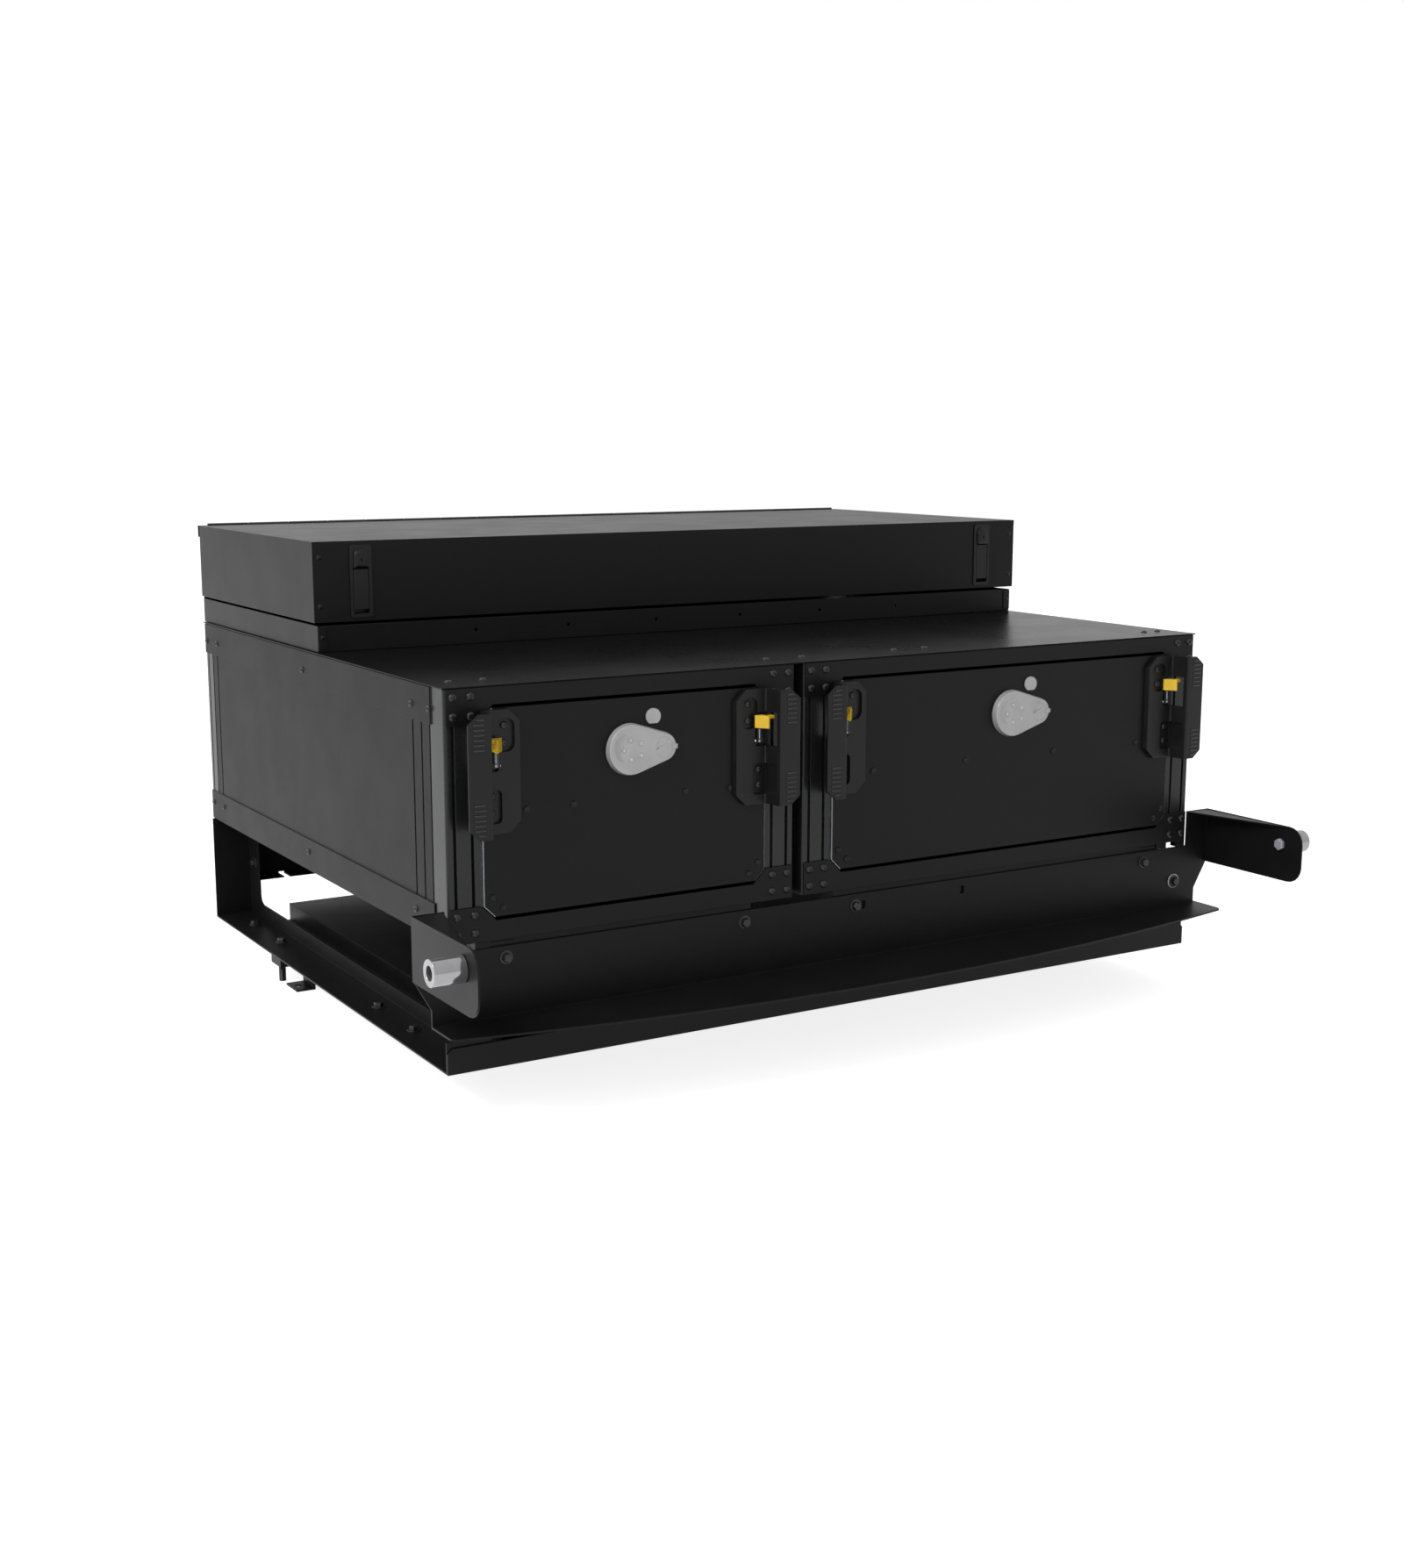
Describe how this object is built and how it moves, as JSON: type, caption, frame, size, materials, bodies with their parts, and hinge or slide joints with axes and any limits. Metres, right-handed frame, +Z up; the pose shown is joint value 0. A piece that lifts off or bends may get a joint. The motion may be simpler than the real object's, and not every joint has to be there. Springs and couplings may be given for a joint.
{
  "type": "suv cargo drawer unit",
  "caption": "Black steel cargo drawer unit for an SUV: side-by-side locking drawers, a lidded box on top, and a raised base with a sill plate and side wings.",
  "frame": {"origin": "centre of the rectangle that the unit covers, at the height of the feet's undersides", "axes": "+X to the unit's right, +Z up, and the drawers open towards -Y"},
  "size_m": [1.3476, 1.094, 0.6692],
  "materials": {
    "steel_black": "fine powder coat",
    "column_black": "satin black anodised",
    "zinc": "zinc plated",
    "satin_silver": "satin silver",
    "polished_steel": "polished",
    "grip_plastic": "fine grain",
    "trigger_yellow": "moulded"
  },
  "bodies": {
    "frame": {"side_frame_left_left": "column_black", "side_frame_left_right": "column_black", "face_rail_left_top": "steel_black", "face_rail_left_bottom": "steel_black", "back_panel_left": "steel_black", "bottom_panel_left": "steel_black", "base_rail_left": "steel_black", "side_post_left": "polished_steel", "side_frame_right_left": "column_black", "side_frame_right_right": "column_black", "face_rail_right_top": "steel_black", "face_rail_right_bottom": "steel_black", "back_panel_right": "steel_black", "bottom_panel_right": "steel_black", "base_rail_right": "steel_black", "side_post_right": "polished_steel", "top_sheet": "steel_black", "tray": "steel_black", "base_front_rail": "steel_black", "base_rear_beam": "steel_black", "base_front_beam": "steel_black", "base_cover": "steel_black", "sill_plate": "steel_black", "hinge_fixed_leaf": "column_black"},
    "drawer_left": {"drawer_face_left": "steel_black", "drawer_box_left": "steel_black", "lock_left": "satin_silver", "grip_left_left": "grip_plastic", "grip_left_right": "grip_plastic"},
    "slide_middles_left": {"slide_middle_left_left": "zinc", "slide_middle_left_right": "zinc"},
    "trigger_left_left": {"trigger_left_left": "trigger_yellow"},
    "trigger_left_right": {"trigger_left_right": "trigger_yellow"},
    "lock_lever_left": {"lock_lever_left": "satin_silver"},
    "button_left_1": {"button_left_1": "satin_silver"},
    "button_left_2": {"button_left_2": "satin_silver"},
    "button_left_3": {"button_left_3": "satin_silver"},
    "button_left_4": {"button_left_4": "satin_silver"},
    "button_left_5": {"button_left_5": "satin_silver"},
    "drawer_right": {"drawer_face_right": "steel_black", "drawer_box_right": "steel_black", "lock_right": "satin_silver", "grip_right_left": "grip_plastic", "grip_right_right": "grip_plastic"},
    "slide_middles_right": {"slide_middle_right_left": "zinc", "slide_middle_right_right": "zinc"},
    "trigger_right_left": {"trigger_right_left": "trigger_yellow"},
    "trigger_right_right": {"trigger_right_right": "trigger_yellow"},
    "lock_lever_right": {"lock_lever_right": "satin_silver"},
    "button_right_1": {"button_right_1": "satin_silver"},
    "button_right_2": {"button_right_2": "satin_silver"},
    "button_right_3": {"button_right_3": "satin_silver"},
    "button_right_4": {"button_right_4": "satin_silver"},
    "button_right_5": {"button_right_5": "satin_silver"},
    "lid": {"lid": "steel_black", "hinge_lid_leaf": "column_black", "latch_housing_left": "column_black", "latch_housing_right": "column_black"},
    "latch_lever_left": {"latch_lever_left": "column_black"},
    "latch_lever_right": {"latch_lever_right": "column_black"}
  },
  "joints": [
    {"name": "drawer_left_slide", "type": "slide", "parent": "frame", "child": "drawer_left", "axis": [0, -1, 0], "range_m": [0, 0.7]},
    {"name": "slide_middles_left_slide", "type": "slide", "parent": "frame", "child": "slide_middles_left", "axis": [0, -1, 0], "range_m": [0, 0.35]},
    {"name": "trigger_left_left_pivot", "type": "hinge", "parent": "drawer_left", "child": "trigger_left_left", "pos_m": [-0.5276, -0.3743, 0.426], "axis": [1, 0, 0], "range_deg": [0, 12], "stiffness_Nm_per_rad": 0.3, "springref_deg": -5.73},
    {"name": "trigger_left_right_pivot", "type": "hinge", "parent": "drawer_left", "child": "trigger_left_right", "pos_m": [-0.1648, -0.3743, 0.426], "axis": [1, 0, 0], "range_deg": [0, 12], "stiffness_Nm_per_rad": 0.3, "springref_deg": -5.73},
    {"name": "lock_lever_left_turn", "type": "hinge", "parent": "drawer_left", "child": "lock_lever_left", "pos_m": [-0.302, -0.376, 0.4295], "axis": [0, 1, 0], "range_deg": [0, 90]},
    {"name": "button_left_1_press", "type": "slide", "parent": "drawer_left", "child": "button_left_1", "axis": [0, 1, 0], "range_m": [0, 0.0014], "stiffness_N_per_m": 400, "springref_m": -0.001},
    {"name": "button_left_2_press", "type": "slide", "parent": "drawer_left", "child": "button_left_2", "axis": [0, 1, 0], "range_m": [0, 0.0014], "stiffness_N_per_m": 400, "springref_m": -0.001},
    {"name": "button_left_3_press", "type": "slide", "parent": "drawer_left", "child": "button_left_3", "axis": [0, 1, 0], "range_m": [0, 0.0014], "stiffness_N_per_m": 400, "springref_m": -0.001},
    {"name": "button_left_4_press", "type": "slide", "parent": "drawer_left", "child": "button_left_4", "axis": [0, 1, 0], "range_m": [0, 0.0014], "stiffness_N_per_m": 400, "springref_m": -0.001},
    {"name": "button_left_5_press", "type": "slide", "parent": "drawer_left", "child": "button_left_5", "axis": [0, 1, 0], "range_m": [0, 0.0014], "stiffness_N_per_m": 400, "springref_m": -0.001},
    {"name": "drawer_right_slide", "type": "slide", "parent": "frame", "child": "drawer_right", "axis": [0, -1, 0], "range_m": [0, 0.7]},
    {"name": "slide_middles_right_slide", "type": "slide", "parent": "frame", "child": "slide_middles_right", "axis": [0, -1, 0], "range_m": [0, 0.35]},
    {"name": "trigger_right_left_pivot", "type": "hinge", "parent": "drawer_right", "child": "trigger_right_left", "pos_m": [-0.0314, -0.3743, 0.426], "axis": [1, 0, 0], "range_deg": [0, 12], "stiffness_Nm_per_rad": 0.3, "springref_deg": -5.73},
    {"name": "trigger_right_right_pivot", "type": "hinge", "parent": "drawer_right", "child": "trigger_right_right", "pos_m": [0.5276, -0.3743, 0.426], "axis": [1, 0, 0], "range_deg": [0, 12], "stiffness_Nm_per_rad": 0.3, "springref_deg": -5.73},
    {"name": "lock_lever_right_turn", "type": "hinge", "parent": "drawer_right", "child": "lock_lever_right", "pos_m": [0.2923, -0.376, 0.4295], "axis": [0, 1, 0], "range_deg": [0, 90]},
    {"name": "button_right_1_press", "type": "slide", "parent": "drawer_right", "child": "button_right_1", "axis": [0, 1, 0], "range_m": [0, 0.0014], "stiffness_N_per_m": 400, "springref_m": -0.001},
    {"name": "button_right_2_press", "type": "slide", "parent": "drawer_right", "child": "button_right_2", "axis": [0, 1, 0], "range_m": [0, 0.0014], "stiffness_N_per_m": 400, "springref_m": -0.001},
    {"name": "button_right_3_press", "type": "slide", "parent": "drawer_right", "child": "button_right_3", "axis": [0, 1, 0], "range_m": [0, 0.0014], "stiffness_N_per_m": 400, "springref_m": -0.001},
    {"name": "button_right_4_press", "type": "slide", "parent": "drawer_right", "child": "button_right_4", "axis": [0, 1, 0], "range_m": [0, 0.0014], "stiffness_N_per_m": 400, "springref_m": -0.001},
    {"name": "button_right_5_press", "type": "slide", "parent": "drawer_right", "child": "button_right_5", "axis": [0, 1, 0], "range_m": [0, 0.0014], "stiffness_N_per_m": 400, "springref_m": -0.001},
    {"name": "lid_hinge", "type": "hinge", "parent": "frame", "child": "lid", "pos_m": [0, 0.5423, 0.6668], "axis": [-1, 0, 0], "range_deg": [0, 90]},
    {"name": "latch_lever_left_pivot", "type": "hinge", "parent": "lid", "child": "latch_lever_left", "pos_m": [-0.524, 0.0475, 0.62575], "axis": [-1, 0, 0], "range_deg": [0, 40], "stiffness_Nm_per_rad": 0.5, "springref_deg": -11.46},
    {"name": "latch_lever_right_pivot", "type": "hinge", "parent": "lid", "child": "latch_lever_right", "pos_m": [0.524, 0.0475, 0.62575], "axis": [-1, 0, 0], "range_deg": [0, 40], "stiffness_Nm_per_rad": 0.5, "springref_deg": -11.46}
  ],
  "couplings": [
    {"joint": "slide_middles_left_slide", "follows": "drawer_left_slide", "ratio": 0.5},
    {"joint": "slide_middles_right_slide", "follows": "drawer_right_slide", "ratio": 0.5}
  ]
}
